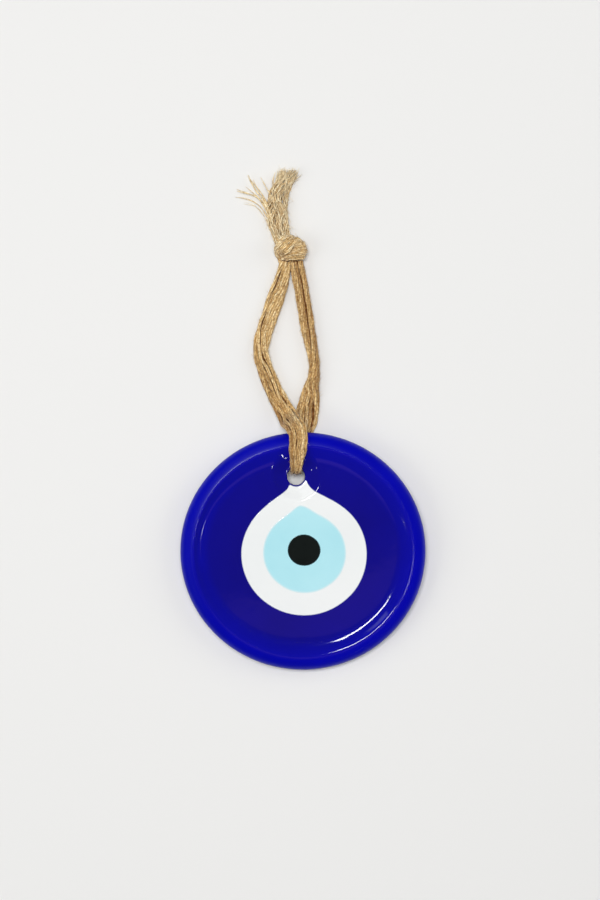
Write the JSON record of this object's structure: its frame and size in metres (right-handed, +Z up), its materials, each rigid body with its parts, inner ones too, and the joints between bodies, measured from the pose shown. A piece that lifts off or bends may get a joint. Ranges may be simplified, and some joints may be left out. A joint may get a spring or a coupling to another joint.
{
  "type": "evil eye ornament",
  "caption": "Flat oval blue glass eye charm with a rounded rim, drop-shaped layers let into its face and a hole near the edge, hung on a knotted loop of flat jute cord.",
  "frame": {"origin": "on the surface that the ornament lies on, under the middle of the glass disc", "axes": "+Z up out of the face of the eye, +Y from the middle of the eye towards the hanging cord, +X to the right"},
  "size_m": [0.08, 0.1638, 0.0128],
  "materials": {
    "cobalt_glass": "glossy, deep cobalt blue, hand poured",
    "white_glass": "glossy opaque white",
    "light_blue_glass": "glossy opaque light blue",
    "black_glass": "glossy black",
    "jute": "matte natural jute, loosely spun"
  },
  "bodies": {
    "glass": {"glass_body": "cobalt_glass", "white_drop": "white_glass", "light_blue_drop": "light_blue_glass", "pupil": "black_glass"},
    "saddle": {"cord_hole_pass": "jute", "cord_front_run": "jute", "cord_back_run": "jute"},
    "loop": {"cord_crossing": "jute", "cord_left_leg": "jute", "cord_right_leg": "jute", "cord_knot": "jute", "cord_left_tail": "jute", "cord_right_tail": "jute"}
  },
  "joints": [
    {"name": "loop_swing", "type": "hinge", "parent": "glass", "child": "saddle", "pos_m": [-0.00227, 0.02461, 0.005], "axis": [0, -0.0318, 0.9995], "range_deg": [-16, 16]},
    {"name": "loop_fold", "type": "hinge", "parent": "saddle", "child": "loop", "pos_m": [0, 0.0435, 0.0017], "axis": [1, 0, 0], "range_deg": [-75, 85]}
  ]
}
